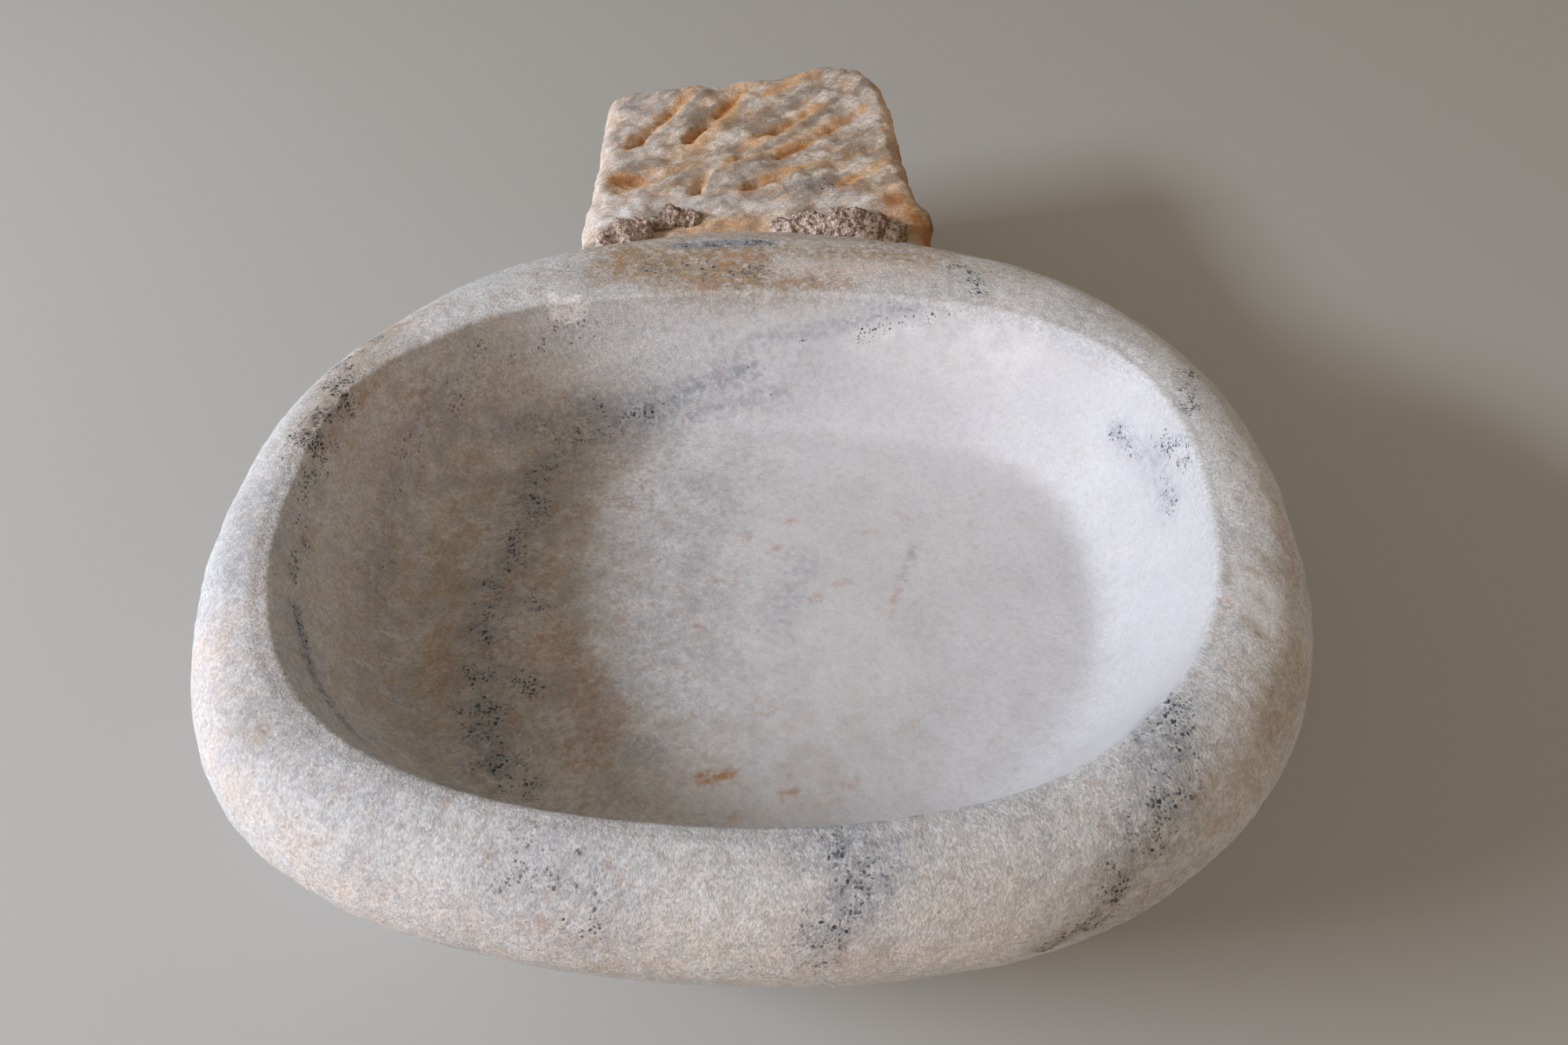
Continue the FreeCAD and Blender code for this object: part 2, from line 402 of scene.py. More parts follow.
# veins, stains, painted shade and painted light: kind, strength, width and the line they follow
# over the stone
marks = [
    # left and back-left rim, and the wall under its lip
    ("dirtAndShade", 0.55, 11, [(-190, 96, 152), (-200, 66, 153), (-203, 22, 153)]),
    ("rust", 0.4, 7, [(-184, 106, 147), (-199, 82, 147), (-210, 50, 147)]),
    ("rust", 0.4, 5, [(-181, 76, 148), (-194, 42, 146), (-199, 1, 147)]),
    ("speck", 1.6, 7, [(-198, 89, 152), (-204, 76, 152), (-206, 62, 153), (-201, 49, 155)]),
    ("speck", 0.7, 11, [(-198, 89, 152), (-205, 62, 153), (-200, 40, 153)]),
    ("speck", 1.6, 6, [(-196, 40, 150), (-203, 24, 154), (-207, 15, 155), (-200, 10, 151)]),
    ("speck", 0.6, 10, [(-200, 30, 153), (-203, 0, 153)]),
    ("ochre", 0.3, 12, [(-172, 118, 153), (-192, 90, 153), (-202, 50, 154), (-204, 10, 153)]),
    ("speck", 1.0, 3, [(-215, 40, 153), (-213, 40, 153)]),
    ("speck", 0.95, 4.5, [(-196, 23, 143), (-197, 4, 141), (-198, -15, 148), (-195, -33, 142),
                          (-192, -41, 136)]),
    ("speck", 1.1, 3, [(-193, -46, 142), (-190, -59, 139)]),
    ("speck", 1.2, 2.5, [(-185, -74, 137), (-178, -87, 133), (-170, -102, 133), (-165, -108, 131),
                         (-159, -115, 129), (-154, -118, 125), (-147, -124, 122)]),
    ("grey", 0.7, 5, [(-185, -74, 137), (-170, -102, 133), (-154, -118, 125), (-147, -124, 122)]),
    ("grey", 0.28, 9, [(-167, 80, 125), (-181, 29, 107), (-177, -24, 97), (-159, -71, 88),
                       (-130, -104, 84)]),
    ("speck", 0.3, 12, [(-167, 80, 125), (-181, 29, 107), (-177, -24, 97)]),
    ("grey", 0.2, 16, [(-212, -20, 152), (-204, -72, 152)]),
    ("grey", 0.25, 22, [(-180, -118, 152), (-157, -150, 151), (-120, -176, 151)]),
    ("rust", 0.3, 16, [(-180, 30, 120), (-172, 70, 130)]),
    ("peach", 0.28, 45, [(-182, 30, 118), (-172, -60, 112), (-150, -100, 108)]),
    ("rust", 0.35, 10, [(-168, 48, 118), (-150, 78, 112), (-132, 98, 118)]),
    # the vein round the floor's left side
    ("speck", 0.6, 8, [(-66, 106, 92), (-101, 94, 85), (-112, 78, 83), (-121, 66, 83)]),
    ("speck", 0.45, 9, [(-121, 66, 83), (-117, 47, 83), (-126, 26, 83), (-120, 7, 83),
                        (-127, -18, 83), (-124, -44, 83), (-121, -66, 83), (-121, -85, 83),
                        (-113, -96, 83), (-104, -112, 83), (-88, -123, 83)]),
    ("speck", 1.4, 6, [(-119, 58, 83), (-116, 35, 83)]),
    ("speck", 1.3, 5, [(-124, 21, 83), (-123, 8, 83)]),
    ("speck", 1.3, 6, [(-127, -13, 83), (-124, -35, 83)]),
    ("speck", 1.1, 5, [(-106, -20, 83), (-101, -27, 83)]),
    ("speck", 1.2, 5, [(-128, -40, 83), (-123, -45, 83)]),
    ("speck", 1.1, 5, [(-125, -62, 83), (-118, -68, 83)]),
    ("speck", 1.1, 5, [(-103, -68, 83), (-96, -74, 83)]),
    ("speck", 1.2, 7, [(-122, -83, 83), (-113, -85, 83)]),
    ("speck", 1.2, 5, [(-117, -97, 83), (-110, -101, 83)]),
    ("speck", 1.0, 5, [(-96, -101, 83), (-94, -108, 83)]),
    ("speck", 1.2, 5, [(-113, -109, 83), (-102, -113, 83), (-99, -122, 83)]),
    ("grey", 0.55, 15, [(-58, 109, 95), (-101, 94, 85), (-118, 61, 83), (-123, 16, 83),
                        (-125, -35, 83), (-121, -75, 83), (-106, -111, 83)]),
    ("rust", 0.3, 13, [(-88, -40, 83), (-80, -70, 83), (-66, -86, 83), (-68, -112, 83)]),
    ("rust", 0.45, 9, [(-96, -55, 83), (-79, -55, 83), (-71, -69, 83)]),
    ("rust", 0.4, 8, [(-57, -82, 83), (-59, -94, 83), (-68, -112, 83)]),
    ("rust", 0.4, 6, [(-146, -65, 83), (-129, -53, 83), (-111, -51, 83)]),
    ("dirtAndShade", 0.5, 16, [(-159, 9, 83), (-140, -21, 83), (-132, -84, 83)]),
    ("dirtAndShade", 0.45, 14, [(-118, 61, 83), (-123, 16, 83), (-125, -35, 83), (-121, -75, 83),
                        (-106, -111, 83)]),
    ("rust", 0.3, 9, [(-144, -54, 83), (-140, -69, 83)]),
    ("rust", 1.1, 3.0, [(-19, -117, 83), (-6, -115, 83)]),
    ("rust", 0.6, 2.4, [(18, -123, 83), (21, -122, 83)]),
    ("rust", 0.3, 2.2, [(1, -80, 83), (4, -76, 83), (9, -77, 83), (11, -81, 83), (7, -85, 83),
                        (2, -84, 83)]),
    ("grey", 0.3, 9, [(10, -36, 83), (16, -12, 83), (20, 3, 83)]),
    # painted shade: wide grey and brown veils over the floor's middle, for the soft edge of the
    # lip's shadow, and over its front, for the shade under the front rim
    ("grey", 0.22, 42, [(-45, 40, 83), (-40, -60, 83)]),
    ("dirtAndShade", 0.16, 42, [(-45, 40, 83), (-40, -60, 83)]),
    ("dirtAndShade", 0.22, 30, [(-40, -95, 83), (45, -105, 83)]),
    ("grey", 0.5, 8, [(-46, -103, 83), (-41, -104, 83)]),
    ("grey", 0.4, 3, [(76, 17, 83), (69, -6, 83)]),
    ("rust", 0.35, 3, [(68, -9, 83), (62, -27, 83)]),
    # back wall
    ("grey", 0.45, 6, [(-8, 123, 127), (30, 124, 134), (50, 125, 142), (74, 124, 148)]),
    ("grey", 0.4, 7, [(-34, 116, 108), (-12, 122, 123), (9, 123, 130)]),
    ("grey", 0.4, 7, [(-43, 106, 89), (-13, 112, 97), (9, 114, 100)]),
    ("grey", 0.6, 9, [(-102, 95, 85), (-77, 101, 87), (-55, 109, 95), (-38, 114, 104),
                      (-8, 118, 112)]),
    ("grey", 0.45, 9, [(-141, 85, 96), (-118, 94, 92), (-93, 105, 97)]),
    ("grey", 0.2, 30, [(-60, 118, 118), (20, 120, 114)]),
    ("grey", 0.2, 12, [(-120, 108, 134), (-58, 123, 134), (-20, 122, 125)]),
    # painted light: the back wall's left part is painted paler where the lip's shadow falls on it
    ("chalkyAndLit", 0.45, 24, [(-112, 103, 126), (-60, 118, 122), (-10, 120, 122)]),
    ("speck", 0.45, 6, [(50, 124, 132), (66, 126, 142), (90, 121, 147)]),
    ("speck", 0.35, 6, [(-141, 85, 96), (-118, 94, 92), (-93, 105, 97)]),
    ("speck", 0.25, 6, [(-55, 109, 95), (-38, 114, 104), (-8, 118, 112)]),
    ("speck", 0.25, 5, [(-43, 106, 89), (-13, 112, 97), (9, 114, 100)]),
    ("speck", 1.2, 2.5, [(20, 122, 127), (22, 122, 127)]),
    ("speck", 0.4, 8, [(-166, 74, 114), (-161, 81, 116), (-150, 100, 140)]),
    ("speck", 0.35, 12, [(-130, 96, 128), (-100, 118, 138)]),
    ("rust", 0.3, 6, [(-146, 96, 123), (-131, 105, 126)]),
    # right rim and wall
    ("speck", 1.7, 6, [(102, 153, 154), (106, 145, 155), (108, 134, 155)]),
    ("speck", 0.95, 5, [(206, 66, 152), (201, 56, 154), (198, 40, 155)]),
    ("speck", 0.9, 5, [(174, 57, 122), (180, 44, 125)]),
    ("speck", 0.95, 6, [(187, 35, 139), (192, 16, 146)]),
    ("speck", 0.7, 5, [(186, 13, 129), (187, 0, 129)]),
    ("grey", 0.35, 9, [(174, 57, 122), (185, 30, 131), (187, 4, 130)]),
    ("rust", 0.6, 2.5, [(187, -74, 154), (188, -77, 154)]),
    ("dirtAndShade", 0.7, 1.8, [(190, -66, 154), (194, -56, 155), (200, -58, 155), (204, -62, 154)]),
    ("dirtAndShade", 0.6, 1.8, [(191, -84, 154), (196, -92, 154), (203, -96, 154)]),
    ("dirtAndShade", 0.6, 4.0, [(208, -54, 153), (213, -60, 153)]),
    ("chalkyAndLit", 0.35, 12, [(200, -66, 155), (203, -84, 154)]),
    ("chalkyAndLit", 0.6, 26, [(60, 119, 136), (120, 106, 138)]),
    # front right
    ("speck", 1.0, 3.5, [(154, -121, 142), (158, -125, 153)]),
    ("speck", 0.6, 12, [(155, -125, 151), (153, -141, 155), (149, -160, 152), (134, -185, 139)]),
    ("grey", 0.5, 14, [(153, -130, 153), (149, -160, 152), (136, -180, 145)]),
    ("dirtAndShade", 0.8, 7, [(140, -184, 139), (132, -190, 132), (122, -196, 123), (108, -200, 117)]),
    ("speck", 1.0, 7, [(140, -184, 139), (132, -190, 132), (122, -196, 123), (108, -200, 117)]),
    # front
    ("grey", 0.6, 13, [(33, -184, 155), (47, -184, 154)]),
    ("speck", 0.6, 10, [(33, -182, 155), (47, -186, 154)]),
    ("speck", 1.0, 3, [(49, -181, 155), (51, -183, 155)]),
    ("grey", 0.65, 11, [(48, -192, 152), (40, -202, 146)]),
    ("speck", 0.6, 8, [(48, -193, 152), (41, -201, 146)]),
    ("speck", 0.6, 8, [(38, -203, 144), (32, -208, 136), (29, -211, 129)]),
    ("grey", 0.4, 8, [(38, -203, 144), (32, -208, 136)]),
    ("speck", 0.95, 3.5, [(-58, -193, 151), (-57, -195, 150)]),
    ("speck", 0.4, 13, [(-70, -191, 151), (-47, -194, 151), (-46, -205, 141)]),
    ("grey", 0.25, 20, [(-73, -193, 149), (-46, -198, 149), (-41, -206, 139)]),
    ("dirtAndShade", 0.5, 7, [(-175, -140, 152), (-170, -143, 152)]),
    ("speck", 0.8, 4, [(-4, -214, 120), (8, -213, 122)]),
    ("peach", 0.5, 24, [(-206, -106, 146), (-186, -147, 140), (-165, -173, 126),
                        (-129, -193, 121)]),
    ("peach", 0.45, 24, [(-98, -203, 120), (-43, -212, 122), (15, -213, 120)]),
    ("peach", 0.4, 24, [(45, -211, 120), (84, -206, 122)]),
    ("dirtAndShade", 0.3, 18, [(214, -100, 143), (187, -150, 135), (166, -174, 122), (131, -193, 115)]),
    ("dirtAndShade", 0.55, 8, [(236, 10, 138), (238, -40, 136), (230, -90, 134)]),
    ("rust", 0.35, 6, [(226, -20, 148), (222, -60, 149)]),
    ("ochre", 0.4, 12, [(216, -104, 148), (198, -140, 146)]),
    ("chalkyAndLit", 0.5, 12, [(214, 20, 153), (216, -20, 153)]),
    # the stain on the back rim, with a straight right edge, and the dark vein behind it
    ("ochre", 1.0, 7, [(-46, 142, 155), (-6, 139, 155), (-6, 146, 155), (-56, 148, 155),
                       (-60, 156, 155), (-5, 154, 155), (-5, 163, 155), (-58, 165, 154),
                       (-48, 171, 153), (-5, 171, 154)]),
    ("ochre", 0.95, 14, [(-84, 150, 154), (-60, 150, 155), (-82, 168, 153), (-58, 168, 154)]),
    ("ochre", 0.6, 13, [(-50, 138, 154), (-8, 136, 154), (30, 140, 154)]),
    ("rust", 0.5, 4, [(-84, 150, 154), (-80, 160, 154)]),
    ("rust", 0.55, 6, [(-34, 134, 154), (-20, 144, 155), (-24, 160, 155), (-6, 162, 155)]),
    ("dirtAndShade", 0.45, 12, [(-76, 152, 154), (-50, 146, 155), (-30, 144, 155)]),
    ("speck", 3.0, 3.0, [(-44, 174, 154), (-22, 177, 154), (-2, 178, 154)]),
    ("grey", 1.0, 4.5, [(-52, 174, 154), (-2, 179, 154)]),
    ("speck", 1.3, 4, [(-14, 146, 155), (-10, 150, 155)]),
    ("speck", 0.9, 4, [(-28, 138, 155), (-24, 140, 155)]),
    ("speck", 0.6, 14, [(-64, 152, 155), (-12, 146, 155)]),
    ("speck", 0.25, 16, [(-120, 140, 153), (-90, 150, 153)]),
    ("ochre", 0.7, 12, [(4, 172, 154), (84, 166, 154)]),
    ("ochre", 0.6, 15, [(-96, 180, 150), (-40, 190, 150), (40, 190, 150), (96, 178, 150)]),
    ("ochre", 0.3, 12, [(100, 160, 153), (130, 150, 152)]),
    ("ochre", 0.25, 12, [(-118, 140, 153), (-96, 148, 153)]),
    ("rust", 0.35, 6, [(8, 138, 154), (42, 138, 154)]),
    ("peach", 0.5, 12, [(6, 152, 155), (80, 152, 155)]),
    ("grey", 0.4, 3, [(60, 142, 155), (72, 150, 155)]),
    ("chalk", 1.1, 8, [(-107, 118, 148), (-99, 120, 149)]),
    ("chalk", 0.9, 3.5, [(-112, 125, 153), (-109, 122, 152)]),
    # the tail: brown hollows, crumbs of mortar, and its pale or stained root
    ("hollow", 0.9, 7, [(-100, 267, 140), (-84, 268, 140)]),
    ("hollow", 0.2, 9, [(-44, 216, 142), (12, 214, 142)]),
    ("hollow", 1.2, 12, [(70, 244, 136), (80, 222, 136), (88, 206, 132)]),
    ("hollow", 0.9, 9, [(80, 330, 132), (86, 250, 132)]),
    ("soil", 0.9, 11, [(94, 236, 138), (92, 214, 136)]),
    ("soil", 0.7, 8, [(84, 330, 134), (90, 250, 134)]),
    ("hollow", 0.4, 7, [(50, 261, 142), (76, 259, 142)]),
    # tan bands along the strokes: partly the ochre stain in them, partly painted light on their
    # lit flanks
    ("tanAndLitFlank", 0.9, 5, [(-98, 312, 143), (-84, 341, 143), (-68, 371, 143), (-62, 391, 143)]),
    ("tanAndLitFlank", 1.0, 8, [(-55, 310, 143), (-38, 356, 143), (-30, 394, 143)]),
    ("tanAndLitFlank", 0.8, 4.5, [(-69, 279, 143), (-48, 292, 143)]),
    ("tanAndLitFlank", 1.0, 5, [(-20, 310, 143), (2, 338, 143), (25, 368, 143)]),
    ("tanAndLitFlank", 1.0, 5.5, [(-31, 289, 143), (3, 308, 143), (33, 340, 143), (54, 363, 143)]),
    ("tanAndLitFlank", 0.9, 5, [(-98, 255, 143), (-78, 273, 143), (-65, 282, 143)]),
    ("tanAndLitFlank", 0.9, 5, [(-21, 256, 143), (4, 278, 143), (28, 290, 143)]),
    ("tanAndLitFlank", 0.9, 5, [(38, 264, 143), (57, 279, 143), (67, 294, 143)]),
    ("tanAndLitFlank", 0.6, 9, [(-64, 213, 143), (-39, 212, 143), (1, 214, 143)]),
    ("tanAndLitFlank", 0.9, 6, [(-10, 385, 143), (16, 410, 143)]),
    ("tanAndLitFlank", 0.8, 4, [(-52, 254, 143), (-45, 277, 143)]),
    ("soil", 0.3, 8, [(-62, 334, 143), (-51, 356, 143)]),
    ("soil", 0.3, 9, [(-32, 345, 143), (-12, 356, 143)]),
    ("soil", 0.3, 9, [(17, 346, 143), (43, 351, 143)]),
    ("soil", 0.25, 6, [(-66, 297, 143), (-32, 303, 143)]),
    ("soil", 0.35, 6, [(-16, 288, 143), (3, 293, 143)]),
    ("soil", 0.3, 7, [(45, 303, 143), (58, 319, 143)]),
    ("rust", 0.6, 3.5, [(-40, 247, 142), (-39, 249, 142)]),
    ("rust", 0.6, 3.5, [(-20, 249, 142), (-18, 250, 142)]),
    ("speck", 1.2, 5, [(28, 262, 142), (34, 264, 142)]),
    ("speck", 1.2, 4, [(72, 214, 140), (74, 220, 140)]),
    ("grey", 0.4, 9, [(-104, 366, 141), (-90, 362, 141)]),
    ("grey", 0.35, 8, [(16, 258, 142), (34, 262, 142)]),
    ("chalkyAndLit", 0.8, 16, [(-108, 226, 141), (-90, 238, 141)]),
    ("chalkyAndLit", 0.4, 14, [(-98, 300, 143), (-90, 360, 143)]),
    ("chalkyAndLit", 0.55, 11, [(-70, 240, 141), (-36, 238, 141), (-8, 236, 141)]),
    ("chalkyAndLit", 0.5, 9, [(30, 244, 141), (60, 240, 141)]),
    ("chalkyAndLit", 0.7, 9, [(46, 346, 143), (56, 362, 143)]),
]

# small soft rust spots on the basin's floor: x and y
floorSpots = [(-10, 21), (6, 13), (-36, -13), (-23, -7), (-12, -8), (-29, -66), (26, -19),
              (39, -9), (15, -124), (31, -127), (42, -118), (-4, -135), (13, 32), (-28, -37)]
floorLevel = 83
marks += [("rust", 0.42, 3.5, [(x, y, floorLevel), (x + 3, y + 1, floorLevel)])
          for x, y in floorSpots]

# kinds of mark; dirt also holds painted shade, and chalky and tan also hold painted light
stains = ("speck", "grey", "rust", "dirtAndShade", "ochre", "peach", "chalk", "chalkyAndLit", "hollow", "tanAndLitFlank",
          "soil")

# how strongly each region takes a tint, and the places in millimetres between which it changes
stoneTint = {
    "wall": (86, 125), "left": (20, 125), "back": (60, 110), "leftOfMiddle": (-40, 110),
    "backCleaner": 0.6, "wallClearer": 0.5, "wallCleaner": 0.2,
    "cloudy": (0.28, 0.62), "coarse": (0.3, 0.6),     # in the basin, and added to its left
    "rimCloudy": 0.45,
    "scarLine": [(200, -66, 155), (203, -84, 154)], "scarWidth": 12, "scarSmoother": 0.3,
    # partly dirt and partly painted shade: the basin's left, where the lip's shadow falls, is
    # darkened
    "dirtAndShade": (0.33, 0.27),                             # on the basin's left, and taken off upwards
    # painted light: the chalk share on the lower flank paints it paler, for light from the front
    # and off the floor
    "flank": (60, 112), "flankPeach": 0.4, "flankPaintedLight": 0.7,
    "tailEdge": (-16, -7), "tailUpper": (90, 125),
    "lows": (0.1, 2.2), "fullStroke": 2.8, "upward": (0.1, 0.5),
    # the pale peach on the tail's left, lit edge is painted light; the ochre on its right, shaded
    # edge is partly a stain and partly painted shade
    "lowOchre": 0.3, "rightOchreAndShade": 0.5, "leftPaintedLight": 0.8,
}


# masks the marble reads: veins and stains, painted shade and painted light, the tail, and how
# cloudy and how coarse the stone is
def writeStoneMasks(piece):
    tint = stoneTint
    points, normals = readPoints(piece.data), readNormals(piece.data)
    tail, basin, _ = stoneRegions(points)
    masks = {kind: np.zeros(len(points)) for kind in stains}
    for kind, strength, width, line in marks:
        masks[kind] = np.maximum(masks[kind], strength * nearness(points, line, width))
    x, y, z = points.T
    high = smoothStep(z, *tint["wall"])
    leftward = smoothStep(-x, *tint["left"])
    leftward = leftward * (1 - tint["backCleaner"] * smoothStep(y, *tint["back"]))
    leftHalf = smoothStep(-x, *tint["leftOfMiddle"])
    cloudy, cloudyAdded = tint["cloudy"]
    cloudyBasin = (cloudy + cloudyAdded * leftHalf) * (1 - tint["wallClearer"] * high)
    masks["cloudy"] = basin * cloudyBasin + (1 - basin) * tint["rimCloudy"]
    masks["blotchy"] = basin * leftward * (1 - tint["wallCleaner"] * high)
    coarse, coarseAdded = tint["coarse"]
    masks["coarse"] = basin * (coarse + coarseAdded * leftHalf) + (1 - basin)
    scar = nearness(points, tint["scarLine"], tint["scarWidth"])
    masks["coarse"] *= 1 - tint["scarSmoother"] * scar
    # the basin's left is darkened, partly dirt and partly painted shade where the lip's shadow
    # falls
    dirtAndShade, dirtAndShadeLess = tint["dirtAndShade"]
    masks["dirtAndShade"] = np.maximum(masks["dirtAndShade"], basin * leftward * (dirtAndShade - dirtAndShadeLess * high))
    # the lower flank is tinted peach and painted paler with chalk, which is painted light from the
    # front and off the floor
    lowest, highest = tint["flank"]
    flank = smoothStep(-z, -highest, -lowest) * (1 - tail) * (1 - basin)
    masks["peach"] = np.maximum(masks["peach"], tint["flankPeach"] * flank)
    masks["chalkyAndLit"] = np.maximum(masks["chalkyAndLit"], tint["flankPaintedLight"] * flank)
    masks["tail"] = tail
    # the tail is ochre in its strokes and hollows; along its right, shaded edge the ochre is
    # partly a stain and partly painted shade, and along its left, lit edge it is painted pale,
    # which is painted light
    edge = smoothStep(tailAside(x, y), *tint["tailEdge"]) * smoothStep(z, *tint["tailUpper"])
    low = smoothStep(-relief(points, "tail", tail), *tint["lows"])
    cut = np.clip(strokeDepth(points) / tint["fullStroke"], 0.0, 1.0)
    cut = cut * smoothStep(normals[:, 2], *tint["upward"])
    hollow = np.maximum(tint["lowOchre"] * low, tint["rightOchreAndShade"] * edge * (x > 0))
    masks["hollow"] = tail * np.maximum(cut, np.maximum(masks["hollow"], hollow))
    masks["peach"] = np.maximum(masks["peach"], tint["leftPaintedLight"] * tail * edge * (x < 0))
    for name, values in masks.items():
        writeMask(piece.data, name, values)


# lumps of each crust: middle and half sizes, millimetres
crustShape = {
    "voxel": 0.8,
    "roughness": [(8, 2.4), (3.2, 1.7), (1.6, 0.8)],    # size and height
    "stainedRight": (36, 60),                           # soil-stained from here on
    "stainedMiddle": (20, 40, 72), "middleShare": 0.4,  # less so, and not on the left crust
    "mortar_crust_left": [((-85, 201, 143), (12, 12, 7)), ((-77, 205, 143), (8, 8, 6)),
                          ((-93, 194, 142), (7, 9, 6))],
    "mortar_crust_middle": [((-60, 220, 142), (8, 7, 7)), ((-50, 219, 142), (9, 7, 5)),
                            ((-67, 215, 142), (5, 5, 4))],
    "mortar_crust_right": [((22, 214, 143), (17, 11, 4.5)), ((42, 215, 143), (18, 14, 5.5)),
                           ((58, 209, 143), (12, 16, 5.5)), ((68, 202, 142), (9, 12, 6)),
                           ((8, 211, 142), (9, 8, 3.5))],
}


def makeCrust(name):
    bm = bmesh.new()
    for middle, halfSizes in crustShape[name]:
        place = Matrix.LocRotScale(Vector(middle) * mm, None, Vector(halfSizes) * mm)
        bmesh.ops.create_icosphere(bm, subdivisions=4, radius=1.0, matrix=place)
    piece = newPiece(name.replace("crust", "lump"), toMesh(bm, name))
    remesh(piece, crustShape["voxel"])
    points, normals = readPoints(piece.data), readNormals(piece.data)
    rough = sum(height * grainAt(points, size, 3, size)
                for size, height in crustShape["roughness"])
    writePoints(piece.data, points + normals * rough[:, None])
    x = points[:, 0]
    near, far, furthest = crustShape["stainedMiddle"]
    middle = crustShape["middleShare"] * smoothStep(-x, near, far) * (x > -furthest)
    writeMask(piece.data, "stained", smoothStep(x, *crustShape["stainedRight"]) + middle)
    shadeSmooth(piece.data)
    return piece


# Statuary marble with coarse crystals, point-chiselled and weathered: no polish is left, so it
# is matt, and single crystals show in white, grey and peach
marbleLook = {
    "white": "#d9dde0", "wornWhite": "#d6d8dc", "grey": "#aeb0b6", "warm": "#cdc6be",
    "crystal": 1.2, "haze": 1.0, "smallFleck": 1.5, "fleck": 2.1,     # mm across
    "cloud": 45, "blotch": 16, "wisp": 11, "clod": 11, "patch": 4.0, "spot": 8,   # mm
    "cloudShare": 0.9, "mottleShare": 0.6,            # of what the cloudy mask allows
    # dirt is also used as painted shade, and chalk, through the chalky mask, as painted light
    "black": "#2c2f35", "flint": "#666b71", "vein": "#8e95a3", "pit": "#9c9088",
    "rust": "#b88e6c", "dirtAndShade": "#a3957c", "ochre": "#ab967a", "peach": "#e9d9cd",
    "chalk": "#eff1f3", "brown": "#ac9c82", "blue": "#90979f",
    "tailHigh": "#e0dad0", "tailGrey": "#8b8076", "tailHollow": "#cc9550", "tailDeep": "#9a5f26",
    # tan is partly the strokes' ochre stain, partly painted light on their lit flanks
    "tanAndLitFlank": "#dfb586", "soil": "#5f4a2e",
    "lump": 12, "streak": 7,                          # mm across on the tail
    "strokeTurn": 50, "strokeStretch": 2.0,           # degrees from X, and times as long
    "roughness": 0.8, "bumpStrength": 0.5, "bumpHeight": 1.2,         # mm
}


